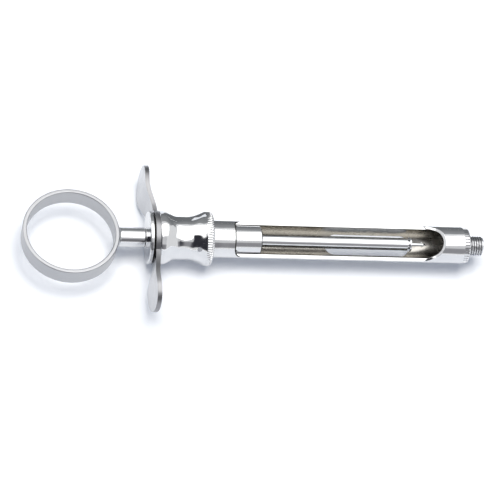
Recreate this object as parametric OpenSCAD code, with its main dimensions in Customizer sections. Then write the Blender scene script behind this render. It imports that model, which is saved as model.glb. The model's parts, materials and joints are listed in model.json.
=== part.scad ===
// Aspirating dental syringe for glass cartridges.
// X runs along the barrel towards the needle, Z along the thumb ring's hole.
// The origin is on the barrel axis, where a needle hub seats on the adaptor.

/* [Barrel] */
// Outer diameter of the barrel tube
barrel_d = 11.2; // [10.8:0.1:12.4]
// Bore that holds the glass cartridge
barrel_bore = 9.4; // [9:0.1:9.8]
// Closed nose between the adaptor and the window
nose_len = 6.7; // [5:0.1:9]
// Length of the cartridge window
window_len = 64.4; // [62:0.2:70]
// Height of the window's edges above the axis
window_edge = 1.45; // [1:0.05:2]
// Corner radius at the window's rear end
window_corner_r = 1.9; // [1:0.1:3]
// Extra radius of the window's round front end
window_flare = 0.6; // [0:0.1:2]
// Turn of the window about the axis, towards -Y
window_roll = 20; // [-45:1:45]
// Length of the viewing slot in the wall behind the window
slot_len = 26.5; // [15:0.5:40]
// Width of the viewing slot
slot_w = 6.2; // [4.2:0.1:9]
// Distance from the window's front end back to the viewing slot
slot_setback = 8.6; // [4:0.1:20]
// Closed tube behind the window, as far as the spool's seat
tail_len = 17; // [15:0.5:22]

/* [Needle adaptor] */
// Diameter of the knurled ring
adaptor_ring_d = 10.6; // [10:0.1:11]
// Width of the knurled ring
adaptor_ring_w = 1.9; // [1.5:0.1:3]
// Major diameter of the needle thread, M6 x 0.75
thread_d = 5.9; // [5.8:0.01:6]
// Length of the threaded nozzle
nozzle_len = 4.9; // [4:0.1:7]
// Bore for the cartridge end of the needle
needle_bore_d = 1.8; // [1:0.1:2.4]
// Length of the plug that screws into the barrel
plug_len = 2.5; // [2:0.1:4]
// Diameter of the recess that centres the cartridge cap
cap_recess_d = 7.9; // [7.7:0.1:8.2]
// Depth of that recess
cap_recess_len = 1.2; // [0.5:0.1:1.5]

/* [Finger spool] */
// Step of the knurled flange over the barrel
flange_step = 2.6; // [2:0.05:3.5]
// Width of the knurled flange
spool_flange_w = 2.2; // [1.8:0.1:3]
// Length of the flare between the flange and the waist
flare_len = 5.5; // [4:0.1:7]
// Wall of the waist around the barrel
waist_wall = 0.9; // [0.7:0.05:1.5]
// Step of the rear dome over the barrel
dome_step = 2.6; // [2:0.05:3.5]
// Length of the dome's full diameter
dome_len = 1.2; // [0.8:0.1:2]
// Length over which the dome falls to the waist
dome_fall = 4.8; // [3.5:0.1:6]
// Barrel length left in view between the window and the spool
spool_gap = 6.9; // [5:0.1:10]
// Thickness of the spool's rear wall
spool_wall = 2; // [1.5:0.1:3]

/* [Finger bar] */
// Thickness of the bent plate
bar_t = 1.35; // [1:0.05:2]
// Overall span from tip to tip
bar_span = 51; // [40:0.5:60]
// Width across each paddle
paddle_w = 12; // [9:0.5:14]
// Width of the neck beside the middle disc
neck_w = 8.4; // [6:0.2:9]
// Mean set-back of the paddles towards the thumb ring
bar_sweep = 1.85; // [1:0.05:4]
// Extra set-back of the +Y paddle, taken off the other
bar_skew = 0.45; // [-1:0.05:1]
// Forward curl of the paddles' tips
bar_curl = 0.5; // [0:0.1:1]
// Turn of the bar about the axis, as the nut clamps it
bar_roll = -4.5; // [-45:0.5:45]

/* [End nut and rod bush] */
// Inset of the end nut's disc from the dome's edge
nut_inset = 0.2; // [0:0.05:0.5]
// Thickness of the disc
nut_t = 1.15; // [1:0.05:2]
// Step that parts the disc from the finger bar
nut_seam = 0.45; // [0.2:0.05:0.6]
// Depth of that step under the disc's edge
seam_depth = 1.3; // [0.6:0.1:2]
// Diameter of the threaded sleeve through the bar
nut_sleeve_d = 7.2; // [6.4:0.1:8]
// Depth of the dish in the disc's rear face
nut_dish = 0.6; // [0.2:0.05:0.8]
// Diameter of the bush's collar
collar_d = 6; // [5.2:0.1:6.6]
// How far the collar stands out of the dish
collar_len = 1.3; // [0.8:0.1:2]
// Wall of the bush around the rod
bush_wall = 0.65; // [0.5:0.05:1]

/* [Guide bearing and spring] */
// Length of the bearing's body in front of its collar
bearing_len = 11.3; // [9:0.1:14]
// Length of the window filled by the bearing at rest
bearing_reach = 8.3; // [5:0.1:10]
// Length of the collar that stops the bearing
stop_len = 2; // [1.5:0.1:3]
// Step of the collar over the bearing's body
stop_step = 0.3; // [0.2:0.05:0.4]
// Length of the spigot inside the spring
spigot_len = 2.5; // [1.5:0.1:4]
// Spring travel for loading a cartridge
bearing_travel = 10.3; // [8:0.1:12.5]
// Length left to the spring over its solid height at the end of the travel
spring_slack = 1.1; // [0.5:0.1:3]
// Wire diameter of the spring
wire_d = 0.7; // [0.5:0.05:0.8]
// Coils of the spring
coils = 7; // [5:1:8]

/* [Plunger] */
// Diameter of the piston rod
rod_d = 3.9; // [3.4:0.1:4.2]
// Rod in view between the bearing and the foot
rod_reach = 45.8; // [40:0.1:48]
// Diameter of the foot's flange
foot_d = 4.5; // [4.3:0.1:5]
// Length of the foot
foot_len = 1.1; // [0.8:0.1:2]
// Length of the harpoon in front of the foot
harpoon_len = 5.3; // [4:0.1:6]
// Diameter of the harpoon's shaft
harpoon_d = 1.05; // [0.8:0.05:1.3]
// Width across the harpoon's barbs
barb_w = 1.9; // [1.5:0.1:2.4]
// Diameter of the harpoon's threaded stud
stud_d = 1.9; // [1.5:0.1:2]
// Length of the stud behind the foot
stud_len = 3; // [2:0.1:5]

/* [Thumb ring] */
// Outer diameter of the ring
ring_d = 29; // [24:0.5:34]
// Wall of the ring
ring_wall = 1.3; // [1:0.05:2]
// Height of the ring's band
ring_h = 6.1; // [5:0.1:8]
// Diameter of the stem
stem_d = 6; // [5.2:0.1:7]
// Length of the stem in view
stem_len = 7.9; // [6:0.1:12]
// Depth of the stem's threaded socket for the rod
socket_len = 5.4; // [4:0.1:5.9]

/* [Fits] */
// Radial gap of screwed and seated joints
screw_gap = 0.03; // [0.02:0.01:0.06]
// Radial gap of sliding pieces
slide_gap = 0.08; // [0.04:0.01:0.1]
// Radial gap of the rod in its guides
rod_gap = 0.05; // [0.03:0.01:0.08]
// Gap left where end faces meet
face_gap = 0.05; // [0.02:0.01:0.1]

/* [Hidden] */

$fn = 96;
eps = 0.5;

// Stations along the axis, from the needle end backwards
barrel_front = -adaptor_ring_w;
window_front = barrel_front - nose_len;
window_rear = window_front - window_len;
spool_front = window_rear - spool_gap;
barrel_rear = window_rear - tail_len;
bearing_front = window_rear + bearing_reach;
stop_face = bearing_front - bearing_len;
bearing_back = stop_face - stop_len;
cavity_rear = bearing_back - bearing_travel - coils * wire_d - spring_slack;
spool_rear = cavity_rear - spool_wall;
bar_rear = spool_rear - bar_t;
disc_front = bar_rear - nut_seam;
disc_rear = disc_front - nut_t;
dish_floor = disc_rear + nut_dish;
collar_rear = dish_floor - collar_len;
foot_rear = bearing_front + rod_reach;
foot_front = foot_rear + foot_len;
harpoon_tip = foot_front + harpoon_len;
stem_front = collar_rear - face_gap;
ring_front = stem_front - stem_len;
ring_x = ring_front - ring_d / 2;
socket_end = stem_front - socket_len;
slot_front = window_front - slot_setback;

// Radii that fit one another
bore_r = barrel_bore / 2;
barrel_r = barrel_d / 2;
flange_r = barrel_r + flange_step;
waist_r = barrel_r + waist_wall;
dome_r = barrel_r + dome_step;
nut_r = dome_r - nut_inset;
bearing_r = bore_r - slide_gap;
stop_r = bearing_r + stop_step;
stop_bore_r = stop_r + slide_gap;
rod_r = rod_d / 2;
guide_r = rod_r + rod_gap;
foot_bore_r = foot_d / 2 + 0.15;
bush_r = guide_r + bush_wall;
stud_r = stud_d / 2;
spring_r = bore_r - 0.4 - wire_d / 2;
spigot_r = spring_r - wire_d / 2 - 0.15;
foot_pocket = foot_len + harpoon_len + 0.6;

function arc(cr, cx, r, from, to, steps = 8) =
    [for (i = [0:steps]) let (a = from + (to - from) * i / steps) [cr + r * cos(a), cx + r * sin(a)]];

// Cosine step from 0 to 1, used for the bends of the bar and its paddles
function ease(t) = t <= 0 ? 0 : t >= 1 ? 1 : (1 - cos(180 * t)) / 2;

// A turned piece: its profile lists [radius, station] pairs
module turned(profile) {
    rotate([0, 90, 0]) rotate_extrude() polygon(profile);
}

// A round hole or pin along the axis, between two stations
module round_x(r, from, to) {
    translate([from, 0, 0]) rotate([0, 90, 0]) cylinder(r = r, h = to - from);
}

// The window's outline from above: a full round at the front, small corners at the rear
module window_outline() {
    half_w = sqrt(pow(barrel_r, 2) - pow(window_edge, 2));
    front_r = half_w + window_flare;
    corner_x = window_rear + window_corner_r;
    translate([window_front - front_r, 0]) circle(r = front_r);
    translate([corner_x, -front_r]) square([window_front - front_r - corner_x, 2 * front_r]);
    translate([window_rear, window_corner_r - half_w])
        square([2 * window_corner_r, 2 * (half_w - window_corner_r)]);
    for (side = [-1, 1])
        translate([corner_x, side * (half_w - window_corner_r)]) circle(r = window_corner_r);
}

module barrel() {
    rear_step = stop_face + face_gap;
    color("gainsboro") rotate([window_roll, 0, 0]) difference() {
        round_x(barrel_r, barrel_rear, barrel_front);
        round_x(bore_r, barrel_rear - eps, barrel_front + eps);
        round_x(stop_bore_r, barrel_rear - eps, rear_step);
        translate([0, 0, window_edge]) linear_extrude(barrel_d) window_outline();
        translate([0, 0, -barrel_d]) linear_extrude(barrel_d) {
            for (end = [slot_front - slot_w / 2, slot_front - slot_len + slot_w / 2])
                translate([end, 0]) circle(d = slot_w);
            translate([slot_front - slot_len + slot_w / 2, -slot_w / 2])
                square([slot_len - slot_w, slot_w]);
        }
    }
}

module needle_adaptor() {
    ring_r = adaptor_ring_d / 2;
    edge = 0.55;
    chamfer = 0.5;
    plug_r = bore_r - screw_gap;
    plug_rear = barrel_front - plug_len;
    color("silver") difference() {
        turned(concat(
            [[0, plug_rear], [plug_r, plug_rear], [plug_r, barrel_front]],
            arc(ring_r - edge, barrel_front + edge, edge, -90, 0),
            arc(ring_r - edge, -edge, edge, 0, 90),
            [[thread_d / 2, 0], [thread_d / 2, nozzle_len - chamfer],
             [thread_d / 2 - chamfer, nozzle_len], [0, nozzle_len]]));
        round_x(needle_bore_d / 2, plug_rear - eps, nozzle_len + eps);
        round_x(cap_recess_d / 2, plug_rear - eps, plug_rear + cap_recess_len);
    }
}

module finger_spool() {
    edge = 0.9;
    flange_rear = spool_front - spool_flange_w;
    dome_front = spool_rear + dome_len;
    waist_front = flange_rear - flare_len;
    steps = 12;
    // A cosine step from the dome down to the waist, and a quarter cosine from there to the flange
    rear_side = [for (i = [0:steps]) let (t = i / steps)
        [dome_r - (dome_r - waist_r) * ease(t), dome_front + dome_fall * t]];
    front_side = [for (i = [0:steps]) let (t = i / steps)
        [waist_r + (flange_r - waist_r) * (1 - cos(90 * t)), waist_front + flare_len * t]];
    color("lightgray") difference() {
        turned(concat(
            [[0, spool_rear], [dome_r, spool_rear]],
            rear_side,
            front_side,
            arc(flange_r - edge, spool_front - edge, edge, 0, 90),
            [[0, spool_front]]));
        round_x(barrel_r + screw_gap, barrel_rear - face_gap, spool_front + eps);
        round_x(stop_bore_r, cavity_rear, barrel_rear);
        round_x(nut_sleeve_d / 2 + screw_gap, spool_rear - eps, cavity_rear + eps);
    }
}

// Half width of the finger bar's neck and paddle at a distance out from the axis
function bar_half(y) =
    let (paddle_r = paddle_w / 2,
         centre = bar_span / 2 - paddle_r,
         neck = neck_w / 2)
    y < centre ? neck + (paddle_r - neck) * ease((y - dome_r) / (centre - dome_r))
        : sqrt(max(0, pow(paddle_r, 2) - pow(y - centre, 2)));

// How far the plate is set back at a distance out from the axis
function bar_set(y) =
    let (out = abs(y), sweep = bar_sweep + bar_skew * sign(y), curl_from = bar_span / 2 - 8.5)
    sweep * ease((out - nut_r + 1) / 10) - 2 * bar_curl * ease((out - curl_from) / 17);

module bar_outline() {
    ys = [for (i = [-40:40]) bar_span / 2 * i / 40];
    circle(r = dome_r);
    polygon(concat([for (y = ys) [bar_half(abs(y)), y]],
        [for (i = [len(ys) - 2:-1:1]) [-bar_half(abs(ys[i])), ys[i]]]));
}

module finger_bar() {
    ys = [for (i = [-36:36]) bar_span / 2 * i / 36 * 1.001];
    side = concat([for (y = ys) [spool_rear - bar_set(y), y]],
        [for (i = [len(ys) - 1:-1:0]) [bar_rear - bar_set(ys[i]), ys[i]]]);
    color("whitesmoke") rotate([bar_roll, 0, 0]) difference() {
        intersection() {
            translate([0, 0, -paddle_w]) linear_extrude(2 * paddle_w) polygon(side);
            translate([bar_rear - 2 * bar_sweep - bar_t, 0, 0]) rotate([0, 90, 0])
                linear_extrude(4 * bar_sweep + 4 * bar_t) bar_outline();
        }
        round_x(nut_sleeve_d / 2 + screw_gap, bar_rear - eps, spool_rear + eps);
    }
}

module end_nut() {
    edge = 0.35;
    color("lightgray") difference() {
        turned(concat(
            [[0, cavity_rear], [nut_sleeve_d / 2, cavity_rear], [nut_sleeve_d / 2, bar_rear],
             [nut_r - seam_depth, bar_rear], [nut_r - seam_depth, disc_front]],
            arc(nut_r - edge, disc_front - edge, edge, 90, 0),
            arc(nut_r - edge, disc_rear + edge, edge, 0, -90),
            [[nut_r - 0.9, disc_rear], [collar_d / 2 + 0.6, dish_floor], [0, dish_floor]]));
        round_x(bush_r + screw_gap, disc_rear - eps, cavity_rear + eps);
    }
}

module rod_bush() {
    color("darkgray") difference() {
        turned([[0, cavity_rear], [bush_r, cavity_rear], [bush_r, dish_floor],
            [collar_d / 2, dish_floor], [collar_d / 2, collar_rear], [0, collar_rear]]);
        round_x(guide_r, collar_rear - eps, cavity_rear + eps);
    }
}

module guide_bearing() {
    chamfer = 0.45;
    spigot_rear = bearing_back - spigot_len;
    color("white") difference() {
        turned([[0, spigot_rear], [spigot_r, spigot_rear], [spigot_r, bearing_back],
            [stop_r, bearing_back], [stop_r, stop_face], [bearing_r, stop_face],
            [bearing_r, bearing_front - chamfer], [bearing_r - chamfer, bearing_front],
            [0, bearing_front]]);
        round_x(guide_r, spigot_rear - eps, bearing_front + eps);
        round_x(foot_bore_r, bearing_front - foot_pocket, bearing_front + eps);
    }
}

// The spring's wire runs along a helix whose first and last coils lie closed
module bearing_spring() {
    sides = 8;
    per_coil = 20;
    steps = coils * per_coil;
    low = cavity_rear + wire_d / 2 + face_gap;
    high = bearing_back - wire_d / 2 - face_gap;
    dead = wire_d * 1.05;
    function lift(t) = t < 1 ? dead * t
        : t > coils - 1 ? (high - low) - dead * (coils - t)
        : dead + (high - low - 2 * dead) * (t - 1) / (coils - 2);
    points = [for (i = [0:steps]) let (t = i / per_coil, a = 360 * t) for (k = [0:sides - 1])
        let (b = 360 * k / sides, r = spring_r + wire_d / 2 * cos(b))
        [low + lift(t) + wire_d / 2 * sin(b), r * cos(a), r * sin(a)]];
    walls = [for (i = [0:steps - 1]) for (k = [0:sides - 1]) let (n = (k + 1) % sides)
        [i * sides + k, i * sides + n, (i + 1) * sides + n, (i + 1) * sides + k]];
    near = [for (k = [sides - 1:-1:0]) k];
    far = [for (k = [0:sides - 1]) steps * sides + k];
    color("slategray") polyhedron(points, concat(walls, [near, far]), convexity = 10);
}

module piston_rod() {
    color("silver") difference() {
        round_x(rod_r, socket_end + face_gap, foot_rear);
        round_x(stud_r + screw_gap, foot_rear - stud_len - face_gap, foot_rear + eps);
    }
}

module piston_foot() {
    flange_t = foot_len / 2;
    neck_r = rod_r - 0.5;
    color("silver") difference() {
        turned([[0, foot_rear], [neck_r, foot_rear], [neck_r, foot_front - flange_t],
            [foot_d / 2, foot_front - flange_t], [foot_d / 2, foot_front], [0, foot_front]]);
        round_x(stud_r + screw_gap, foot_rear - eps, foot_front + eps);
    }
}

// The head is a flat arrow whose barbs stand clear of the shaft
module harpoon() {
    head = 2.1;
    blade_t = 0.6;
    half = barb_w / 2;
    neck = harpoon_d / 2;
    shaft_end = harpoon_tip - head + 0.9;
    color("silver") {
        round_x(stud_r, foot_rear - stud_len, foot_front);
        round_x(neck, foot_front, shaft_end);
        translate([0, 0, -blade_t / 2]) linear_extrude(blade_t) polygon([
            [harpoon_tip, 0], [harpoon_tip - head, half], [harpoon_tip - head + 0.35, half - 0.4],
            [shaft_end, neck * 0.6], [shaft_end, -neck * 0.6],
            [harpoon_tip - head + 0.35, 0.4 - half], [harpoon_tip - head, -half]]);
    }
}

// The stem's rear end is cut to sit on the ring's outer face
module ring_stem() {
    color("silver") difference() {
        round_x(stem_d / 2, ring_front - 1, stem_front);
        round_x(rod_r + screw_gap, socket_end, stem_front + eps);
        translate([ring_x, 0, -ring_h]) cylinder(r = ring_d / 2, h = 2 * ring_h);
    }
}

module thumb_ring() {
    edge = 0.4;
    outer = ring_d / 2;
    inner = outer - ring_wall;
    top = ring_h / 2;
    color("lightsteelblue") translate([ring_x, 0, 0]) rotate_extrude() polygon(concat(
        arc(outer - edge, top - edge, edge, 0, 90),
        arc(inner + edge, top - edge, edge, 90, 180),
        arc(inner + edge, edge - top, edge, 180, 270),
        arc(outer - edge, edge - top, edge, 270, 360)));
}

barrel();
needle_adaptor();
finger_spool();
finger_bar();
end_nut();
rod_bush();
guide_bearing();
bearing_spring();
piston_rod();
piston_foot();
harpoon();
ring_stem();
thumb_ring();
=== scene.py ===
"""Aspirating dental syringe: its visible pieces, steel finishes and studio.

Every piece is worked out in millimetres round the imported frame: X runs along the barrel towards
the needle, and the barrel's axis is y = z = 0.
"""
import json
import math

import bmesh
import bpy
import numpy as np
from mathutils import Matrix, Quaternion, Vector


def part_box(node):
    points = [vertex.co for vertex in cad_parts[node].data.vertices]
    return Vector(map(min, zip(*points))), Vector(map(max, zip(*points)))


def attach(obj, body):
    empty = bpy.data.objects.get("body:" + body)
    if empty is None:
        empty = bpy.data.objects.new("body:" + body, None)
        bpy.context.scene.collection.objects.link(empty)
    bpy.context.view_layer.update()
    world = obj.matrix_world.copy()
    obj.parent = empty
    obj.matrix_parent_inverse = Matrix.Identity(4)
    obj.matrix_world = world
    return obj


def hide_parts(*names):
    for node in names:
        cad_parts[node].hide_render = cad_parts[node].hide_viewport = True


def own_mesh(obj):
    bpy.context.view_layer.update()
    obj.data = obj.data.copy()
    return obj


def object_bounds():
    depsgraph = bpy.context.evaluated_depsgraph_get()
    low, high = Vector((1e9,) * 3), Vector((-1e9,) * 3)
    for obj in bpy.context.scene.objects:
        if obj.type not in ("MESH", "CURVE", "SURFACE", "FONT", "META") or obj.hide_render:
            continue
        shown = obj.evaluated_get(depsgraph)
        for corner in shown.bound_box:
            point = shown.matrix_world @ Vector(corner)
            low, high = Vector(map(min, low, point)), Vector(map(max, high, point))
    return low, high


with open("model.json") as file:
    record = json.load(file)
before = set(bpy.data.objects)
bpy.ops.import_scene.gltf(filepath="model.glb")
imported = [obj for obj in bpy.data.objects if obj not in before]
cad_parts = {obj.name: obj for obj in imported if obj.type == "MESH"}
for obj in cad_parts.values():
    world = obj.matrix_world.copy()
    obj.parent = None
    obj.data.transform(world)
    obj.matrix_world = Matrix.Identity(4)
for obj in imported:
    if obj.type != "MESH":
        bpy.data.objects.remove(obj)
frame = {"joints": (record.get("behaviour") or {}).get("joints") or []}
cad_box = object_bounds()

MM = 0.001
TURN = 2 * math.pi


def extent(node):
    """Lowest and highest corner of a CAD node, in millimetres."""
    low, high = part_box(node)
    return np.array(low) / MM, np.array(high) / MM


def stations(node):
    """Rear end, front end and largest radius of a turned CAD node."""
    low, high = extent(node)
    return low[0], high[0], high[2]


# ---------------------------------------------------------------- driving sizes, in millimetres
# They repeat the CAD source's; what it lacks is marked as drawn here only.

SCREW_GAP = 0.03
ROD_GAP = 0.05
FACE_GAP = 0.05

BORE_R = 4.7
STOP_BORE_R = 5.0
WINDOW_EDGE = 1.45
WINDOW_FLARE = 0.6
WINDOW_CORNER = 1.9
WINDOW_ROLL = math.radians(20)
NOSE = 6.7
WINDOW = 64.4
SLOT_SETBACK = 8.6
SLOT_LENGTH = 26.5
SLOT_HALF = 3.1
STOP_DEPTH = 14.05
MOUTH_CUT = 0.6      # here only: depth of the chamfer round the window's front end
MOUTH_DRAW = 2.2     # here only: how far the front end's corners are drawn back

RING_WIDTH = 1.9
THREAD_R = 2.95
THREAD_PITCH = 0.75
THREAD_DEPTH = 0.46  # here only, as are the counts and depths of both knurls
NOZZLE_CHAMFER = 0.5
RING_TEETH = 37
RING_GROOVE = 0.36
FLANGE_TEETH = 65
FLANGE_GROOVE = 0.24
NEEDLE_BORE = 0.9
PLUG_R = 4.67
CAP_RECESS = (3.95, 1.2)

FLANGE = 2.2
FLARE = 5.5
WAIST_R = 6.5
DOME_R = 8.2
DOME_LENGTH = 1.2
DOME_FALL = 4.8
SPOOL_WALL = 2.0

SLEEVE_R = 3.6
NUT_SEAM = 0.45
SEAM_DEPTH = 1.3
NUT_DISC = 1.15
NUT_RIM = 0.95       # here 0.05 wider than in the CAD source
DISH = 0.6
DISH_RING = 0.6      # flat ring of the dish's floor round the bush's collar
BUSH_R = 2.65

STOP_LENGTH = 2.0
SPIGOT = 2.5
SPIGOT_R = 3.45
BEARING_GAP = 0.2    # here wider than in the CAD source, to show the dark line round the bearing
STOP_STEP = 0.3
BEARING_CHAMFER = 0.45
FOOT_POCKET = (2.4, 7.0)
FOOT_STEP = 0.5

WIRE_R = 0.35
COILS = 7

BAR_REACH = 25.5
PADDLE_R = 6.0
NECK_HALF = 4.2
SWEEP, SKEW, CURL = 1.85, 0.45, 0.5
BEND_FROM, BEND_LENGTH = 7.0, 10.0
CURL_SETBACK, CURL_LENGTH = 8.5, 17.0
PADDLE_TWIST = 0.09  # here only: rise of x with z at the tips
TWIST_FROM, TWIST_LENGTH = 6.0, 9.0
BAR_ROLL = math.radians(-4.5)

RING_WALL = 1.3
SOCKET = 5.4
STUD_R = 0.95
STUD = 3.0
HARPOON_HEAD = 2.1
HARPOON_SHAFT_R = 0.525
BARB_HALF = 0.3      # half the barbs' thickness, thinned here towards their edges
WELD_LENGTH = 0.75   # here only, as is the next one
WELD_FLARE = 0.55


# ---------------------------------------------------------------- surfaces

def quads(grid, wrap_rows=False, wrap_cols=True):
    """Points and four-sided faces of a grid; a wrapped side joins its last line to its first."""
    rows, cols = grid.shape[:2]
    i = np.arange(rows if wrap_rows else rows - 1)[:, None]
    j = np.arange(cols if wrap_cols else cols - 1)[None, :]
    down, across = (i + 1) % rows, (j + 1) % cols
    faces = np.stack([i * cols + j, i * cols + across, down * cols + across, down * cols + j], -1)
    return grid.reshape(-1, 3), faces.reshape(-1, 4)


def rounded(corners, steps=6):
    """Profile through (station, radius, fillet) corners: each fillet is an arc tangent to both sides.

    No arc takes more than 0.42 of a side. A support point sits just outside each end of an arc, so
    that the flats shade flat.
    """
    points = np.array([c[:2] for c in corners], float)
    line = []
    for k, (_, _, fillet) in enumerate(corners):
        here = points[k]
        if not fillet:
            line.append(here)
            continue
        back, ahead = points[k - 1] - here, points[(k + 1) % len(points)] - here
        back_len, ahead_len = np.linalg.norm(back), np.linalg.norm(ahead)
        back, ahead = back / back_len, ahead / ahead_len
        half = math.acos(float(np.clip(back @ ahead, -1, 1))) / 2
        reach = min(fillet / math.tan(half), 0.42 * back_len, 0.42 * ahead_len)
        middle = (back + ahead) / np.linalg.norm(back + ahead)
        centre = here + middle * reach / math.cos(half)
        start, end = here + back * reach - centre, here + ahead * reach - centre
        sweep = math.pi - 2 * half
        t = np.linspace(0, 1, steps + 1)[:, None]
        arc = centre + (np.sin((1 - t) * sweep) * start + np.sin(t * sweep) * end) / math.sin(sweep)
        line.append(here + back * (reach + min(0.06, 0.05 * back_len)))
        line.extend(arc)
        line.append(here + ahead * (reach + min(0.06, 0.05 * ahead_len)))
    return np.array(line)


def revolve(profile, columns=160, shape=None, closed=True):
    """Turned surface: (x, r cos a, r sin a) for each profile point (x, r) and column angle a.

    shape(x, r, a) may move the station and the radius first. A closed profile joins its ends.
    """
    angle = np.arange(columns) * TURN / columns if np.isscalar(columns) else np.asarray(columns)
    x, r = (np.broadcast_to(profile[:, k:k + 1], (len(profile), len(angle))) for k in (0, 1))
    if shape:
        x, r = shape(x, r, angle[None, :])
    grid = np.stack([x, r * np.cos(angle), r * np.sin(angle)], -1)
    return quads(grid, wrap_rows=closed)


def ease(t):
    """Cosine step: 0 below 0, 1 above 1, and half a cosine wave between."""
    return (1 - np.cos(np.pi * np.clip(t, 0, 1))) / 2


def rolled(points, angle):
    """Points turned about the X axis."""
    c, s = math.cos(angle), math.sin(angle)
    x, y, z = points.T
    return np.stack([x, y * c - z * s, y * s + z * c], -1)


def marked(shell, test):
    """The shell with finish number 1 on each face whose centre passes test(station, radius)."""
    points, faces = shell
    x, y, z = points[faces].mean(1).T
    return points, faces, test(x, np.hypot(y, z)).astype(int)


def tooth_columns(teeth, pattern):
    """Column angles of a knurl: the same few shares of a tooth's pitch, repeated for every tooth."""
    return ((np.arange(teeth)[:, None] + np.asarray(pattern)[None, :]) * TURN / teeth).ravel()


def piece(name, shells, finishes, body, node, bevel=0.0, sharp=38):
    """A mesh object from shells of (points, faces[, finish numbers]), merged and facing outwards.

    Edges sharper than so many degrees get a rounding of the bevel's width, or stay sharp without one.
    """
    points, faces, marks, count = [], [], [], 0
    for shell_points, shell_faces, *mark in shells:
        points.append(shell_points)
        faces.append(shell_faces + count)
        marks.append(mark[0] if mark else np.zeros(len(shell_faces), int))
        count += len(shell_points)
    points = np.concatenate(points) * MM
    faces = np.concatenate(faces)
    mesh = bpy.data.meshes.new(name)
    mesh.vertices.add(len(points))
    mesh.vertices.foreach_set("co", points.astype(np.float32).ravel())
    mesh.loops.add(faces.size)
    mesh.loops.foreach_set("vertex_index", faces.astype(np.int32).ravel())
    mesh.polygons.add(len(faces))
    mesh.polygons.foreach_set("loop_start", np.arange(len(faces), dtype=np.int32) * 4)
    mesh.polygons.foreach_set("material_index", np.concatenate(marks).astype(np.int32))
    mesh.update(calc_edges=True)
    merged = bmesh.new()
    merged.from_mesh(mesh)
    bmesh.ops.remove_doubles(merged, verts=merged.verts, dist=1e-7)
    bmesh.ops.recalc_face_normals(merged, faces=merged.faces)
    merged.to_mesh(mesh)
    merged.free()
    mesh.polygons.foreach_set("use_smooth", np.ones(len(mesh.polygons), bool))
    for finish in finishes:
        mesh.materials.append(finish)
    thing = bpy.data.objects.new(name, mesh)
    bpy.context.scene.collection.objects.link(thing)
    if bevel:
        edge = thing.modifiers.new("soft_edges", "BEVEL")
        edge.width, edge.segments = bevel * MM, 3
        edge.limit_method, edge.angle_limit = "ANGLE", math.radians(sharp)
        edge.harden_normals = True
    else:
        mesh.set_sharp_from_angle(angle=math.radians(sharp))
    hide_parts(node)
    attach(thing, body)
    return thing


# ---------------------------------------------------------------- finishes

class Signal:
    """A number in a node tree; arithmetic on it adds Math nodes."""

    def __init__(self, tree, socket):
        self.tree, self.socket = tree, socket

    def math(self, operation, *values):
        """The result of a Math node on these values."""
        return self.tree.node("ShaderNodeMath", {"operation": operation}, dict(enumerate(values)))

    def __add__(self, other):
        return self.math("ADD", self, other)

    def __sub__(self, other):
        return self.math("SUBTRACT", self, other)

    def __rsub__(self, other):
        return self.math("SUBTRACT", other, self)

    def __mul__(self, other):
        return self.math("MULTIPLY", self, other)


class Recipe:
    """The node tree of a material or a world, emptied and given its output."""

    def __init__(self, owner, output):
        owner.use_nodes = True
        self.tree = owner.node_tree
        self.tree.nodes.clear()
        self.output = self.tree.nodes.new(output)

    def node(self, kind, settings=None, sockets=None, out=0):
        """Adds a node: its settings first, then its sockets' values or links; returns one output."""
        made = self.tree.nodes.new(kind)
        for key, value in (settings or {}).items():
            if key == "stops":
                self.stops(made.color_ramp.elements, value)
            else:
                setattr(made, key, value)
        for key, value in (sockets or {}).items():
            if isinstance(value, Signal):
                self.tree.links.new(value.socket, made.inputs[key])
            else:
                made.inputs[key].default_value = value
        return Signal(self, made.outputs[out])

    def stops(self, elements, stops):
        """Sets a ramp's (position, colour) stops."""
        while len(elements) < len(stops):
            elements.new(1.0)
        for element, (place, colour) in zip(elements, stops):
            element.position = place
            element.color = (*colour, 1.0)

    def surface(self, shader):
        """Links a shader to the output."""
        self.tree.links.new(shader.socket, self.output.inputs["Surface"])

    def place(self, stretch=(1, 1, 1)):
        """Object coordinates, stretched along the axes."""
        spot = self.node("ShaderNodeTexCoord", out="Object")
        return self.node("ShaderNodeMapping", {"vector_type": "POINT"},
                         {"Vector": spot, "Scale": stretch})

    def noise(self, scale, stretch=(1, 1, 1), detail=2.0, rough=0.5):
        """Noise of a given scale over the stretched object coordinates."""
        return self.node("ShaderNodeTexNoise", None,
                         {"Vector": self.place(stretch), "Scale": scale,
                          "Detail": detail, "Roughness": rough})

    def between(self, value, low, high, to_low=0.0, to_high=1.0):
        """Smooth step of a value from one range into another."""
        return self.node("ShaderNodeMapRange", {"interpolation_type": "SMOOTHSTEP"},
                         {"Value": value, "From Min": low, "From Max": high,
                          "To Min": to_low, "To Max": to_high})


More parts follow.
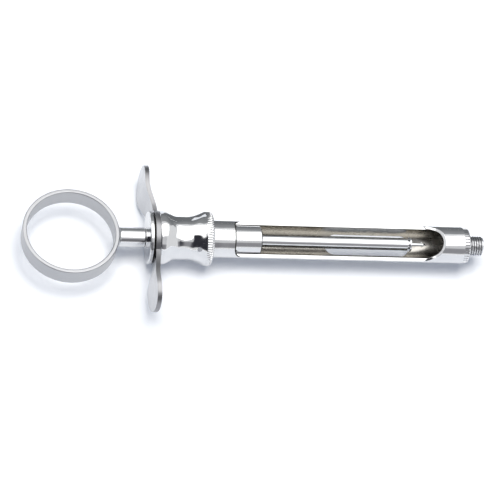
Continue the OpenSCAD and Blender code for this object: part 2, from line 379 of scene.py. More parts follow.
def steel(name, tint, shade, roughness, spread, grain, ripple, scratch, waves=95.0):
    """Steel whose colour, roughness and height vary with smears, grain lines and hand polishing.

    grain stretches the fine lines: small along the line, large across it.
    ripple is the depth in metres of the slow waves that polishing leaves, scratch that of the lines,
    and waves says how close the slow waves lie.
    """
    material = bpy.data.materials.new(name)
    mix = Recipe(material, "ShaderNodeOutputMaterial")
    smear = mix.noise(140.0, detail=3.0, rough=0.55)
    lines = mix.noise(1.0, stretch=grain, detail=3.0, rough=0.6)
    wave = mix.noise(waves, detail=1.0)
    pits = mix.node("ShaderNodeTexVoronoi", {"feature": "F1"},
                    {"Vector": mix.place(), "Scale": 420.0})
    pit = mix.between(pits, 0.05, 0.11, 1.0, 0.0) * mix.between(smear, 0.5, 0.62)
    colour = mix.node("ShaderNodeValToRGB", {"stops": ((0.3, shade), (0.7, tint))},
                      {"Fac": smear * 0.6 + lines * 0.4})
    smooth = mix.between(smear, 0.35, 0.7, roughness, roughness + spread)
    rough = smooth + (lines - 0.5) * spread + pit * 0.12
    height = wave * ripple + lines * scratch - pit * (3 * scratch)
    bump = mix.node("ShaderNodeBump", None, {"Strength": 1.0, "Distance": 1.0, "Height": height})
    mix.surface(mix.node("ShaderNodeBsdfPrincipled", None,
                         {"Base Color": colour, "Metallic": 1.0, "Roughness": rough, "Normal": bump}))
    return material


ALONG, ROUND, UP = (60, 5200, 5200), (6500, 45, 45), (300, 300, 5200)
POLISHED = (0.70, 0.705, 0.71)
POLISHED_SHADE = (0.62, 0.625, 0.64)

drawn_steel = steel("drawn_steel", POLISHED, POLISHED_SHADE, 0.07, 0.05, ALONG, 1.6e-4, 2e-7, 150.0)
turned_steel = steel("turned_steel", POLISHED, POLISHED_SHADE, 0.06, 0.05, ROUND, 4e-5, 2e-7)
hub_steel = steel("hub_steel", POLISHED, (0.61, 0.615, 0.63), 0.06, 0.05, ROUND, 1.0e-3, 2e-7, 170.0)
# The bore's own warmer, rougher finish, with its tone also lowered as painted shade for the inside of
# the tube.
bored_steel_and_shade = steel("bored_steel_and_shade", (0.52, 0.505, 0.47), (0.39, 0.375, 0.35), 0.21, 0.08,
                    ALONG, 8e-5, 6e-7)
satin_steel = steel("satin_steel", (0.47, 0.475, 0.49), (0.39, 0.395, 0.41), 0.33, 0.10,
                    UP, 1.2e-4, 1.6e-6)
pressed_steel = steel("pressed_steel", (0.52, 0.525, 0.54), (0.44, 0.445, 0.46), 0.16, 0.10,
                      ROUND, 5e-4, 8e-7, 130.0)
spring_steel = steel("spring_steel", (0.42, 0.42, 0.44), (0.30, 0.30, 0.32), 0.24, 0.10,
                     ROUND, 3e-5, 6e-7)
# Painted shade: darker, rougher steel laid in the knurl's grooves, the thread's roots and along the
# bar's outer edge.
painted_shade_steel = steel("painted_shade_steel", (0.36, 0.36, 0.37), (0.22, 0.22, 0.23), 0.30, 0.12,
                     ROUND, 3e-5, 6e-7)
# Painted shade: near-black steel laid in the gaps between parts and beside the bearing, where shade
# falls.
painted_gap_shade = steel("painted_gap_shade", (0.06, 0.058, 0.055), (0.02, 0.019, 0.018), 0.45, 0.15,
                   ROUND, 3e-5, 2e-6)


# ---------------------------------------------------------------- needle end

def needle_adaptor():
    """Turned adaptor: coarse knurled ring, helical thread on the nozzle, plug with the cap recess.

    The thread's radius is its major radius less a triangle wave of (x - pitch * turns) / pitch.
    """
    rear, tip, ring_r = stations("needle_adaptor")
    thread = np.linspace(0.22, tip - 0.16, 84)
    chamfer = np.minimum(THREAD_R, THREAD_R - NOZZLE_CHAMFER + (tip - thread))
    profile = np.concatenate([
        [(tip, NEEDLE_BORE), (tip, NEEDLE_BORE + 0.12), (tip, THREAD_R - 0.55),
         (tip - 0.04, THREAD_R - 0.48)],
        np.stack([thread, chamfer], -1)[::-1],
        rounded([(0.2, THREAD_R - 0.3, 0), (0, THREAD_R - 0.3, 0.08), (0, ring_r, 0.5),
                 (-RING_WIDTH, ring_r, 0.4), (-RING_WIDTH, PLUG_R, 0.05), (rear, PLUG_R, 0.25),
                 (rear, CAP_RECESS[0], 0.1), (rear + CAP_RECESS[1], CAP_RECESS[0], 0.1),
                 (rear + CAP_RECESS[1], NEEDLE_BORE, 0.1), (rear + 2, NEEDLE_BORE, 0)]),
        [(tip - 0.12, NEEDLE_BORE)]])
    groove = (0, 0.07, 0.14, 0.28, 0.35, 0.42, 0.70)
    cut = np.tile((0, 0.85, 1, 1, 0.85, 0, 0), RING_TEETH)

    def shape(x, r, angle):
        turns = (x - THREAD_PITCH * angle / TURN) / THREAD_PITCH
        wave = 1 - np.abs(2 * (turns - np.floor(turns)) - 1)
        grip = ease((x - 0.1) / 0.5) * (x < tip - 0.1) * (r > THREAD_R - 0.6) * (r < THREAD_R + 0.2)
        flank = np.clip((wave - 0.12) / 0.76, 0, 1)
        r = np.where(grip > 0, np.minimum(r, THREAD_R - THREAD_DEPTH * grip * (1 - flank)), r)
        rim = (x <= 0) * (x >= -RING_WIDTH) * ease((r - PLUG_R - 0.08) / 0.35)
        return x, r - RING_GROOVE * rim * cut[None, :]

    # Painted shade: the knurl's grooves and the thread's roots take the darker steel.
    def dark(x, r):
        knurl = (x > -RING_WIDTH + 0.2) & (x < -0.2) & (r < ring_r - 0.16)
        root = (x > 0.3) & (x < tip - 0.4) & (r < THREAD_R - 0.25) & (r > NEEDLE_BORE + 0.6)
        return knurl | root

    return marked(revolve(profile, tooth_columns(RING_TEETH, groove), shape), dark)


# ---------------------------------------------------------------- barrel

def barrel():
    """Tube wall: two matching grids, outside and inside, with the window and the slot left out.

    Columns run from the middle of the window (0) past its edge (1) and the slot's edge (2) to the
    middle of the slot (3). Stations run from the rear end to the front end, and follow the outlines
    of the window and the slot. A wall joins the two grids along every edge of an opening.
    Finish 1 is the bore, and finish 2 is painted shade on the window's rear edge, beside the bearing.
    """
    rear, front, _ = stations("barrel")
    outer_r = -extent("barrel")[0][2]
    window_front = front - NOSE
    window_rear = window_front - WINDOW
    half_w = math.sqrt(outer_r ** 2 - WINDOW_EDGE ** 2)
    front_r = half_w + WINDOW_FLARE
    corner_x = window_rear + WINDOW_CORNER
    slot_front = window_front - SLOT_SETBACK - SLOT_HALF
    slot_rear = window_front - SLOT_SETBACK - SLOT_LENGTH + SLOT_HALF
    step = rear + STOP_DEPTH

    share = np.concatenate([np.linspace(0, 1, 33)[:-1], np.linspace(1, 2, 23)[:-1],
                            np.linspace(2, 3, 19)])
    column = np.concatenate([share, -share[-2:0:-1]])
    counts = (10, 1, 8, 26, 18, 10, 12)  # rows of faces from each line across the tube to the next

    def wall(radius, stop_radius, mouth_depth=0.0):
        edge = math.acos(WINDOW_EDGE / radius)
        u = np.abs(column)
        slot_y = SLOT_HALF * np.sin(np.pi / 2 * np.clip(3 - u, 0, 1))
        slot_edge = math.pi - math.asin(SLOT_HALF / radius)
        angle = np.where(u > 2, math.pi - np.arcsin(slot_y / radius),
                         np.interp(u, [0, 1, 2], [0, edge, slot_edge])) * np.sign(column + 1e-9)
        across = np.abs(radius * np.sin(np.clip(np.abs(angle), 0, edge)))
        round_front = window_front - front_r + np.sqrt(front_r ** 2 - across ** 2)
        round_front = round_front - MOUTH_DRAW * np.clip((u - 0.4) / 0.6, 0, 1) ** 2 * (u <= 1)
        corner = np.clip(across - (half_w - WINDOW_CORNER), 0, WINDOW_CORNER)
        round_rear = corner_x - np.sqrt(WINDOW_CORNER ** 2 - corner ** 2)
        bow = np.where(u > 2, np.sqrt(np.maximum(SLOT_HALF ** 2 - slot_y ** 2, 0)), 0)
        lines = [np.full(u.shape, rear), np.full(u.shape, step), np.full(u.shape, step), round_rear,
                 slot_rear - bow, slot_front + bow, round_front, np.full(u.shape, front)]
        x = [lines[0][None, :]]
        r = [np.full((1, len(u)), stop_radius)]
        for k, count in enumerate(counts):
            t = np.linspace(0, 1, count + 1)[1:, None]
            x.append(lines[k] * (1 - t) + lines[k + 1] * t)
            r.append(np.full((count, len(u)), stop_radius if k == 0 else radius))
        x, r = np.concatenate(x), np.concatenate(r)
        mouth = sum(counts[:6])
        r[mouth] -= mouth_depth * ease((1 - u) / 0.1)
        x[mouth + 1] = x[mouth] + MOUTH_CUT
        return np.stack([x, -r * np.sin(angle), r * np.cos(angle)], -1)

    outside, inside = wall(outer_r, outer_r, MOUTH_CUT), wall(BORE_R, STOP_BORE_R)
    rows, cols = outside.shape[:2]
    ends = np.cumsum((0,) + counts)
    following = np.roll(column, -1)
    row, col = np.arange(rows - 1)[:, None], np.abs(column + following)[None, :] / 2
    # Beside the middle of the slot, where the columns change sign, the mean is put right
    col = np.where(np.abs(column) + np.abs(following) > 5.9, 3, col)
    in_window = (row >= ends[3]) & (row < ends[6]) & (col < 1)
    in_slot = (row >= ends[4]) & (row < ends[5]) & (col > 2)
    solid = ~(in_window | in_slot)

    outer_faces = quads(outside)[1][solid.ravel()]
    inner_faces = outer_faces + rows * cols
    both = np.concatenate([outside.reshape(-1, 3), inside.reshape(-1, 3)])
    index = np.arange(rows * cols).reshape(rows, cols)
    deep = index + rows * cols
    side_i, side_j = np.nonzero(solid != np.roll(solid, 1, axis=1))
    sides = np.stack([index[side_i, side_j], index[side_i + 1, side_j],
                      deep[side_i + 1, side_j], deep[side_i, side_j]], -1)
    end_i, end_j = np.nonzero(solid[1:] != solid[:-1])
    next_j = (end_j + 1) % cols
    lips = np.stack([index[end_i + 1, end_j], index[end_i + 1, next_j],
                     deep[end_i + 1, next_j], deep[end_i + 1, end_j]], -1)
    around = (np.arange(cols) + 1) % cols
    rims = [np.stack([index[k], index[k][around], deep[k][around], deep[k]], -1) for k in (0, rows - 1)]
    faces = np.concatenate([outer_faces, inner_faces, sides, lips, *rims])
    marks = np.zeros(len(faces), int)
    marks[len(outer_faces):len(outer_faces) + len(inner_faces)] = 1
    x, _, z = both[faces].mean(1).T
    edge_faces = np.arange(len(faces)) >= 2 * len(outer_faces)
    # Finish 2 is painted shade: the walls and lips at the window's rear end, and the outer row just
    # behind it.
    marks[edge_faces & (z > 0) & (x > rear + 1) & (x < window_rear + 0.7)] = 2
    outline = (row == ends[3] - 1) & (col < 1)
    marks[:len(outer_faces)][outline[solid]] = 2
    return rolled(both, WINDOW_ROLL), faces, marks


# ---------------------------------------------------------------- hub

def finger_spool():
    """Turned hub: knurled flange, flare, waist, plain dome and the bores.

    The dome falls to the waist in a cosine step. The flare's radius rises to the flange as one less
    the cosine of a quarter turn.
    """
    rear, front, flange_r = stations("finger_spool")
    tube_r = -extent("barrel")[0][2] + SCREW_GAP
    barrel_rear = extent("barrel")[0][0]
    flange_rear, dome_front = front - FLANGE, rear + DOME_LENGTH
    t = np.linspace(0, 1, 36)
    dome = np.stack([dome_front + DOME_FALL * t, DOME_R - (DOME_R - WAIST_R) * ease(t)], -1)
    flare = np.stack([flange_rear - FLARE * (1 - t),
                      WAIST_R + (flange_r - WAIST_R) * (1 - np.cos(np.pi / 2 * t))], -1)
    profile = np.concatenate([
        rounded([(front, tube_r, 0.1), (barrel_rear - FACE_GAP, tube_r, 0.1),
                 (barrel_rear - FACE_GAP, STOP_BORE_R, 0.1), (rear + SPOOL_WALL, STOP_BORE_R, 0.2),
                 (rear + SPOOL_WALL, SLEEVE_R + SCREW_GAP, 0.1), (rear, SLEEVE_R + SCREW_GAP, 0.1),
                 (rear, DOME_R, 0.45), (dome_front - 0.2, DOME_R, 0)])[:-1],
        dome, flare,
        rounded([(flange_rear, flange_r, 0), (flange_rear + 0.1, flange_r, 0), (front, flange_r, 0.85),
                 (front, tube_r + 0.2, 0)], 9)[1:]])
    cut = np.tile((0, 0.7, 1, 0.7, 0, 0), FLANGE_TEETH)

    def shape(x, r, angle):
        band = ease((x - flange_rear - 0.05) / 0.25) * ease((r - flange_r + 1.1) / 0.3)
        return x, r - FLANGE_GROOVE * band * cut[None, :]

    return revolve(profile, tooth_columns(FLANGE_TEETH, (0, 0.15, 0.27, 0.39, 0.54, 0.77)), shape)


def end_nut():
    """Turned nut: sleeve through the bar, a seam with painted shade in it, and a dished disc with a
    rounded rim.
    """
    disc_rear, _, disc_r = stations("end_nut")
    front = extent("end_nut")[1][0]
    bar_rear = disc_rear + NUT_DISC + NUT_SEAM
    collar_r = stations("rod_bush")[2]
    hole = BUSH_R + SCREW_GAP
    seam_r = disc_r - SEAM_DEPTH
    profile = rounded([
        (front, hole, 0.1), (front, SLEEVE_R, 0.15), (bar_rear, SLEEVE_R, 0), (bar_rear, seam_r, 0),
        (bar_rear - NUT_SEAM, seam_r, 0.05), (bar_rear - NUT_SEAM, disc_r, 0.3),
        (disc_rear, disc_r, 0.32), (disc_rear, disc_r - NUT_RIM, 0.15),
        (disc_rear + DISH, collar_r + DISH_RING, 0.4), (disc_rear + DISH, hole, 0.05)])

    # Painted shade: the seam's faces take the near-black steel.
    def dark(x, r):
        in_seam = (x > disc_rear + NUT_DISC - 0.06) & (x < bar_rear + 0.01)
        return in_seam & (r > SLEEVE_R) & (r < disc_r - 0.2)

    return marked(revolve(profile, 224), dark)


def rod_bush():
    """Turned bush round the rod, with the collar that stands out of the dish."""
    rear, front, collar_r = stations("rod_bush")
    dish_floor = extent("end_nut")[0][0] + DISH
    hole = stations("piston_rod")[2] + ROD_GAP
    return revolve(rounded([
        (front, hole, 0.1), (front, BUSH_R, 0.1), (dish_floor, BUSH_R, 0), (dish_floor, collar_r, 0.05),
        (rear, collar_r, 0.22), (rear, hole, 0.08)]), 144)


def arm_half(out):
    """Half width of the finger bar at a distance out from the axis: neck, paddle, round tip."""
    centre = BAR_REACH - PADDLE_R
    neck = NECK_HALF + (PADDLE_R - NECK_HALF) * ease((out - DOME_R) / (centre - DOME_R))
    return np.where(out < centre, neck, np.sqrt(np.maximum(PADDLE_R ** 2 - (out - centre) ** 2, 0)))


def finger_bar():
    """Bent plate: rays run from the sleeve's hole to the outline, and each point is set back by its y.

    The set-back is a cosine step towards the ring, less a second one that curls the tips forwards.
    Each paddle is also twisted a little: x gains a share of z that rises in a cosine step.
    """
    spool_rear = extent("finger_spool")[0][0]
    thickness = spool_rear - extent("end_nut")[0][0] - NUT_DISC - NUT_SEAM
    disc = np.linspace(0, NECK_HALF, 60)[:-1]
    y = NECK_HALF + (BAR_REACH - NECK_HALF) * np.sin(np.linspace(0, np.pi / 2, 500)) ** 0.8
    half = np.maximum(arm_half(y), np.sqrt(np.maximum(DOME_R ** 2 - y ** 2, 0)))
    quarter = np.concatenate([np.stack([disc, np.sqrt(DOME_R ** 2 - disc ** 2)], -1),
                              np.stack([y, half], -1)])
    loop = np.concatenate([quarter, (quarter * [1, -1])[::-1][1:],
                           -quarter[1:], (quarter * [-1, 1])[::-1][1:-1]])
    closed = np.vstack([loop, loop[:1]])
    length = np.concatenate([[0], np.cumsum(np.linalg.norm(np.diff(closed, axis=0), axis=1))])
    columns = 360
    along = np.arange(columns) * length[-1] / columns
    outline = np.stack([np.interp(along, length, closed[:, k]) for k in (0, 1)], -1)
    heading = np.arctan2(outline[:, 1], outline[:, 0])
    hole = (SLEEVE_R + SCREW_GAP) * np.stack([np.cos(heading), np.sin(heading)], -1)
    t = np.linspace(0, 1, 44)[:, None, None]
    flat = hole * (1 - t) + outline * t
    out = np.abs(flat[..., 0])
    sweep = SWEEP + SKEW * np.sign(flat[..., 0])
    curl = 2 * CURL * ease((out - (BAR_REACH - CURL_SETBACK)) / CURL_LENGTH)
    back = sweep * ease((out - BEND_FROM) / BEND_LENGTH) - curl
    twist = PADDLE_TWIST * flat[..., 1] * ease((out - TWIST_FROM) / TWIST_LENGTH)
    front, rear = (np.stack([spool_rear - depth - back + twist, flat[..., 0], flat[..., 1]], -1)
                   for depth in (0, thickness))
    points, faces = quads(np.concatenate([front, rear[::-1]]), wrap_rows=True)
    row = np.arange(len(faces)) // columns
    # Finish 1 is painted shade along the plate's outer edge all round.
    return rolled(points, BAR_ROLL), faces, (row == len(front) - 1).astype(int)


# ---------------------------------------------------------------- bearing, spring and plunger

def guide_bearing():
    """Turned bearing: spigot, stop collar, body with a chamfered mouth, and the foot's pocket."""
    rear, front, _ = stations("guide_bearing")
    body_r = BORE_R - BEARING_GAP
    stop_r = body_r + STOP_STEP
    back = rear + SPIGOT
    hole = stations("piston_rod")[2] + ROD_GAP
    return revolve(rounded([
        (front, FOOT_POCKET[0], 0.12), (front, body_r - BEARING_CHAMFER, 0.06),
        (front - BEARING_CHAMFER, body_r, 0.06),
        (back + STOP_LENGTH, body_r, 0.05), (back + STOP_LENGTH, stop_r, 0.08),
        (back, stop_r, 0.1), (back, SPIGOT_R, 0.1), (rear, SPIGOT_R, 0.25), (rear, hole, 0.1),
        (front - FOOT_POCKET[1], hole, 0.1), (front - FOOT_POCKET[1], FOOT_POCKET[0], 0.1)]), 192)


def bearing_spring():
    """Round wire on a helix: its first and last coils lie closed, and the others rise evenly."""
    rear, front, outer = stations("bearing_spring")
    radius = outer - WIRE_R
    low, high = rear + WIRE_R, front - WIRE_R
    closed_rise = 2 * WIRE_R * 1.05
    per_coil, facets = 48, 14
    t = np.linspace(0, COILS, COILS * per_coil + 1)
    lift = np.interp(t, [0, 1, COILS - 1, COILS],
                     [0, closed_rise, high - low - closed_rise, high - low])
    size = np.concatenate([[0], np.full(len(t) - 2, WIRE_R), [0]])[:, None]
    b = np.arange(facets)[None, :] * TURN / facets
    station = low + lift[:, None] + size * np.sin(b)
    ring = radius + size * np.cos(b)
    turn = (TURN * t)[:, None]
    return quads(np.stack([station, ring * np.cos(turn), ring * np.sin(turn)], -1))


def piston_rod():
    """Turned rod, bored at its front end for the harpoon's stud."""
    rear, front, rod_r = stations("piston_rod")
    hole = STUD_R + SCREW_GAP
    bottom = front - STUD - FACE_GAP
    return revolve(rounded([(rear, 0, 0), (rear, rod_r, 0.2), (front, rod_r, 0.12), (front, hole, 0.05),
                            (bottom, hole, 0.05), (bottom, 0, 0)]), 144, closed=False)


def piston_foot():
    """Turned foot: a thin flange in front of a narrow neck."""
    rear, front, foot_r = stations("piston_foot")
    neck = stations("piston_rod")[2] - FOOT_STEP
    middle = (rear + front) / 2
    hole = STUD_R + SCREW_GAP
    return revolve(rounded([(rear, hole, 0), (rear, neck, 0), (middle, neck, 0.05),
                            (middle, foot_r, 0.12), (front, foot_r, 0.14), (front, hole, 0.05)]), 144)


def harpoon():
    """Turned stud and shaft, and two swept-back barbs that thin out towards their edges."""
    rear, tip, _ = stations("harpoon")
    foot_front = extent("piston_foot")[1][0]
    barb_half = extent("harpoon")[1][1]
    barbs_rear = tip - HARPOON_HEAD
    shaft = revolve(rounded([(rear, 0, 0), (rear, STUD_R, 0.15), (foot_front, STUD_R, 0.1),
                             (foot_front, HARPOON_SHAFT_R, 0.1),
                             (barbs_rear + 0.7, HARPOON_SHAFT_R, 0.3),
                             (tip - 0.1, 0.06, 0.03), (tip - 0.06, 0, 0)]), 48, closed=False)
    s = np.linspace(0, 1, 25)
    knots = [0, 0.45, 0.75, 1]
    barbs = []
    for side in (-1, 1):
        outer = np.stack([tip - HARPOON_HEAD * s, side * barb_half * s], -1)
        inner = np.stack([np.interp(s, knots, [tip, tip - 1.2, barbs_rear + 0.4, barbs_rear]),
                          side * np.interp(s, knots, [0, 0, barb_half - 0.42, barb_half])], -1)
        depth = BARB_HALF * np.sin(np.pi * np.clip(s * 1.6, 0, 0.5)) * (1 - 0.5 * s)
        mid = (outer + inner) / 2
        loop = [(inner, 0.25), (inner, 0.9), (mid, 1), (outer, 0.3),
                (outer, -0.3), (mid, -1), (inner, -0.9), (inner, -0.25)]
        grid = np.stack([np.column_stack([line, z * depth]) for line, z in loop], 1)
        ends = [np.repeat(grid[k:k + 1].mean(1, keepdims=True), len(loop), 1) for k in (0, -1)]
        barbs.append(quads(np.concatenate([ends[0], grid, ends[1]])))
    return shaft, *barbs


# ---------------------------------------------------------------- thumb ring

def ring_sizes():
    """Station of the ring's middle, its outer radius and half its height."""
    low, high = extent("thumb_ring")
    return (low[0] + high[0]) / 2, (high[0] - low[0]) / 2, high[2]


def thumb_ring():
    """Flat band turned about a line along Z, with rounded edges."""
    middle, outer, top = ring_sizes()
    inner = outer - RING_WALL
    profile = rounded([(-top, inner, 0.36), (top, inner, 0.36), (top, outer, 0.36), (-top, outer, 0.36)])
    points, faces = revolve(profile, 288)
    return points[:, [1, 2, 0]] + [middle, 0, 0], faces


def ring_stem():
    """Turned stem with the rod's socket; its rear end flares into a weld and lies on the ring.

    The flare is a quarter circle in shape. Near the ring the stations follow the ring's outside,
    which lies at the square root of its radius squared less y squared.
    """
    middle, outer, _ = ring_sizes()
    _, front, stem_r = stations("ring_stem")
    hole = stations("piston_rod")[2] + SCREW_GAP
    weld = middle + outer
    plain = rounded([(front - SOCKET, 0, 0), (front - SOCKET, hole, 0.1), (front, hole, 0.1),
                     (front, stem_r, 0.3), (weld + WELD_LENGTH, stem_r, 0)])
    t = np.linspace(0, 1, 12)[1:]
    fillet = np.stack([weld + WELD_LENGTH * (1 - t),
                       stem_r + WELD_FLARE * (1 - np.sqrt(1 - t ** 2))], -1)
    cap = np.stack([np.full(8, weld - 0.05), np.linspace(stem_r + 0.5, 0, 8)], -1)
    profile = np.concatenate([plain, fillet, cap])

    def shape(x, r, angle):
        saddle = middle + np.sqrt(outer ** 2 - (r * np.cos(angle)) ** 2) - weld
        return x + saddle * ease((weld + 2.5 - x) / 2.2), r

    # Finish 1 is painted shade on the stem's front end, where it meets the bush's collar.
    return marked(revolve(profile, 144, shape, closed=False),
                  lambda x, r: (x > front - 0.14) & (r > hole + 0.3))


# ---------------------------------------------------------------- pieces

TURNED = [turned_steel]
# Finish 1 of these pieces is painted shade in their seams.
SEAMED = [turned_steel, painted_gap_shade]
piece("adaptor", [needle_adaptor()], [turned_steel, painted_shade_steel],
      "syringe_body", "needle_adaptor", sharp=50)
piece("tube", [barrel()], [drawn_steel, bored_steel_and_shade, painted_gap_shade],
      "syringe_body", "barrel", bevel=0.3, sharp=40)
piece("hub", [finger_spool()], [hub_steel], "syringe_body", "finger_spool", sharp=50)
piece("bar", [finger_bar()], [pressed_steel, painted_shade_steel],
      "syringe_body", "finger_bar", bevel=0.3, sharp=50)
piece("nut", [end_nut()], SEAMED, "syringe_body", "end_nut")
piece("bush", [rod_bush()], TURNED, "syringe_body", "rod_bush")
piece("bearing_body", [guide_bearing()], TURNED, "bearing", "guide_bearing")
spring = piece("spring", [bearing_spring()], [spring_steel],
               "syringe_body", "bearing_spring", sharp=80)
piece("rod", [piston_rod()], TURNED, "plunger", "piston_rod")
piece("foot", [piston_foot()], TURNED, "plunger", "piston_foot")
piece("harpoon_point", harpoon(), TURNED, "plunger", "harpoon", sharp=50)
piece("stem", [ring_stem()], SEAMED, "thumb_grip", "ring_stem", sharp=60)
piece("thumb_band", [thumb_ring()], [satin_steel], "thumb_grip", "thumb_ring")

spring_seat = extent("bearing_spring")[0][0] - FACE_GAP
spring_length = extent("bearing_spring")[1][0] - spring_seat
slide = next(joint for joint in frame["joints"] if joint["name"] == "bearing_slide")
travel = -slide["range_m"][0] / MM
(spring_length - travel) / spring_length
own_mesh(spring)


# ---------------------------------------------------------------- studio

FLOOR_LIFT = 0.15    # light added to the paper near the object
WORLD_LIGHT = 0.30   # share of the tent's light that falls on the paper
FAR_CARD_R = 1.3     # in metres, as are the next two
NEAR_CARD_R = 0.55
LAID_LIFT = 0.0003   # height of the laid card over the paper


def stage_sheet(name, grid, material):
    """A stage surface from a grid of points in metres."""
    points, faces = quads(grid, wrap_cols=False)
    mesh = bpy.data.meshes.new(name)
    mesh.from_pydata(points.tolist(), [], faces.tolist())
    mesh.polygons.foreach_set("use_smooth", np.ones(len(mesh.polygons), bool))
    mesh.materials.append(material)
    thing = bpy.data.objects.new(name, mesh)
    bpy.context.scene.collection.objects.link(thing)
    return thing


def background_share(mix):
    """1 for the rays that see the background: camera, glossy and transmission rays."""
    camera, glossy, clear = (mix.node("ShaderNodeLightPath", out=ray) for ray in
                             ("Is Camera Ray", "Is Glossy Ray", "Is Transmission Ray"))
    return camera.math("MAXIMUM", camera, camera.math("MAXIMUM", glossy, clear))


def ramp(mix, value, stops):
    """A colour that follows a number between 0 and 1 through (position, red, green, blue) stops."""
    return mix.node("ShaderNodeValToRGB", {"stops": [(place, colour) for place, *colour in stops]},
                    {"Fac": value})


def floor_paper():
    """White paper that keeps the object's shadow.

    It is lifted for the rays that see the background: a little near the object, to white far away.
    """
    material = bpy.data.materials.new("floor_paper")
    mix = Recipe(material, "ShaderNodeOutputMaterial")
    grain = mix.noise(900.0, detail=2.0)
    white = ramp(mix, grain, ((0.3, 0.885, 0.89, 0.90), (0.7, 0.90, 0.905, 0.915)))
    paper = mix.node("ShaderNodeBsdfPrincipled", None,
                     {"Base Color": white, "Roughness": 0.9, "Specular IOR Level": 0.1})
    spot = mix.node("ShaderNodeTexCoord", out="Object")
    away = mix.node("ShaderNodeVectorMath", {"operation": "LENGTH"}, {0: spot}, out="Value")
    level = mix.between(away, 0.2, 0.8, FLOOR_LIFT, 1.2) * background_share(mix)
    cast = ramp(mix, mix.between(away, 0.2, 0.6), ((0, 0.74, 0.82, 1.0), (1, 1, 1, 1)))
    lift = mix.node("ShaderNodeEmission", None, {"Color": cast, "Strength": level})
    both = mix.node("ShaderNodeAddShader", None, {0: paper, 1: lift})
    below = mix.node("ShaderNodeNewGeometry", out="Backfacing")
    clear = mix.node("ShaderNodeBsdfTransparent")
    mix.surface(mix.node("ShaderNodeMixShader", None, {0: below, 1: both, 2: clear}))
    return material


def card(name, line, x_from, x_to, show, tone):
    """Grey card out of the camera's sight: a line of (y, z) points in metres carried along X.

    show(mix, angle, x) gives how solid it is and tone(mix, angle, x) its colour, where angle is
    the direction from the barrel's axis, in degrees from the zenith towards -Y.
    """
    material = bpy.data.materials.new(name)
    mix = Recipe(material, "ShaderNodeOutputMaterial")
    spot = mix.node("ShaderNodeTexCoord", out="Object")
    x, y, z = (mix.node("ShaderNodeSeparateXYZ", None, {"Vector": spot}, out=k) for k in range(3))
    angle = x.math("ARCTAN2", 0 - y, z) * math.degrees(1)
    grey = mix.node("ShaderNodeEmission", None, {"Color": tone(mix, angle, x), "Strength": 1.0})
    clear = mix.node("ShaderNodeBsdfTransparent")
    mix.surface(mix.node("ShaderNodeMixShader", None, {0: show(mix, angle, x), 1: clear, 2: grey}))
    material.cycles.emission_sampling = "NONE"
    line = np.asarray(line)
    along = np.linspace(x_from, x_to, 24)[None, :]
    grid = np.stack(np.broadcast_arrays(along, line[:, :1], line[:, 1:]), -1)
    thing = stage_sheet(name, grid, material)
    thing.visible_camera = False
    return thing


def bent(low, high, radius):
    """Arc of (y, z) points about the barrel's axis between two angles from the zenith."""
    turn = np.radians(np.linspace(low, high, 48))
    return np.stack([-radius * np.sin(turn), radius * np.cos(turn)], -1)


def far_show(mix, angle, x):
    """The dark side of the room ends in a soft edge, 47 degrees from the zenith towards +Y."""
    return mix.between(angle, -50, -44, 1.0, 0.0)


def far_tone(mix, angle, x):
    """It is lighter towards that edge."""
    return ramp(mix, mix.between(angle, -150, -50),
                ((0, 0.13, 0.135, 0.145), (0.75, 0.24, 0.25, 0.26), (1, 0.36, 0.37, 0.38)))


def near_show(mix, angle, x):
    """A faint step, then a firm one; towards the thumb ring both come 32 degrees nearer the zenith.

    The card fades out at its lower edge and at its needle end.
    """
    start = angle + mix.between(x, -0.26, -0.06, 32.0, 0.0)
    faint, full = mix.between(start, 22, 46) * 0.3, mix.between(start, 47, 53) * 0.7
    lower_edge = mix.between(angle, 81, 84, 1.0, 0.0)
    return (faint + full) * lower_edge * mix.between(x, 0.18, 0.27, 1.0, 0.0)


def near_tone(mix, angle, x):
    """Near black towards the thumb ring, mid grey towards the needle."""
    return ramp(mix, mix.between(x, -0.24, 0.06),
                ((0, 0.04, 0.04, 0.05), (0.6, 0.10, 0.10, 0.115),
                 (0.85, 0.24, 0.235, 0.25), (1, 0.37, 0.37, 0.39)))


def softbox(name, place, size, power, colour):
    """A rectangular lamp aimed at about the middle of the syringe, out of the camera's sight."""
    light = bpy.data.lights.new(name, "AREA")
    light.shape, light.size, light.size_y = "RECTANGLE", *size
    light.energy, light.color = power, colour
    lamp = bpy.data.objects.new(name, light)
    lamp.location = place
    lamp.rotation_mode = "QUATERNION"
    lamp.rotation_quaternion = (Vector((-0.07, 0, 0)) - Vector(place)).to_track_quat("-Z", "Y")
    lamp.visible_camera = False
    bpy.context.scene.collection.objects.link(lamp)
    return lamp


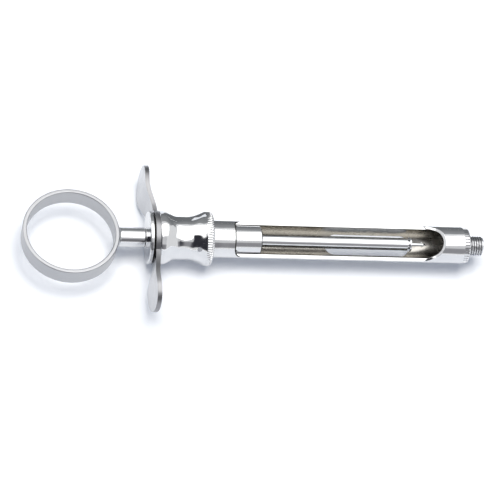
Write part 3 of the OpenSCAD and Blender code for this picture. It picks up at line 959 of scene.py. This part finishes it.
floor_z = cad_box[0].z
sides = np.linspace(-6, 6, 3)
paper_grid = np.stack(np.broadcast_arrays(sides[None, :], sides[:, None], floor_z), -1)
stage_sheet("floor", paper_grid, floor_paper())
card("far_card", bent(-90.3, -43, FAR_CARD_R), -1.0, 2.0, far_show, far_tone)
behind = np.geomspace(0.0065, FAR_CARD_R, 40)
laid = np.stack([behind, np.full(len(behind), floor_z + LAID_LIFT)], -1)
floor_card = card("floor_card", laid, -0.088, 0.4, far_show, far_tone)
floor_card.visible_shadow = floor_card.visible_diffuse = False
card("near_card", bent(8, 86, NEAR_CARD_R), -1.5, 0.3, near_show, near_tone)
key = softbox("key", (-0.07, 0.01, 1.17), (2.4, 1.48), 18.0, (1.0, 0.99, 0.97))
key.visible_diffuse = False
pane = softbox("pane", (-0.10, 0.04, 1.2), (0.9, 0.75), 16.0, (1.0, 0.985, 0.955))
pane.visible_glossy = False

world = bpy.data.worlds.new("tent")
bpy.context.scene.world = world
tent = Recipe(world, "ShaderNodeOutputWorld")
tent.surface(tent.node("ShaderNodeBackground", None, {
    "Color": ramp(tent, background_share(tent), ((0, 0.62, 0.76, 1.0), (1, 0.985, 0.99, 1.0))),
    "Strength": background_share(tent) * (1 - WORLD_LIGHT) + WORLD_LIGHT}))

# The camera turns about the vertical, rises from the horizon, and rolls about its own line of sight
VIEW_TURN, VIEW_RISE, VIEW_ROLL = (math.radians(a) for a in (-21.40, 57.60, 19.74))
VIEW_AIM = Vector((-68.10, -3.40, 0.0)) * MM
VIEW_DISTANCE = 744.12 * MM
SENSOR_WIDTH, LENS = 36.0, 177.9
back = Vector((math.sin(VIEW_TURN) * math.cos(VIEW_RISE),
               -math.cos(VIEW_TURN) * math.cos(VIEW_RISE),
               math.sin(VIEW_RISE)))
camera = bpy.data.objects.new("camera", bpy.data.cameras.new("camera"))
camera.data.sensor_width, camera.data.lens = SENSOR_WIDTH, LENS
camera.location = VIEW_AIM + back * VIEW_DISTANCE
camera.rotation_mode = "QUATERNION"
camera.rotation_quaternion = (-back).to_track_quat("-Z", "Y") @ Quaternion((0, 0, 1), VIEW_ROLL)
bpy.context.scene.collection.objects.link(camera)
bpy.context.scene.camera = camera
bpy.context.scene.view_settings.view_transform = "Standard"
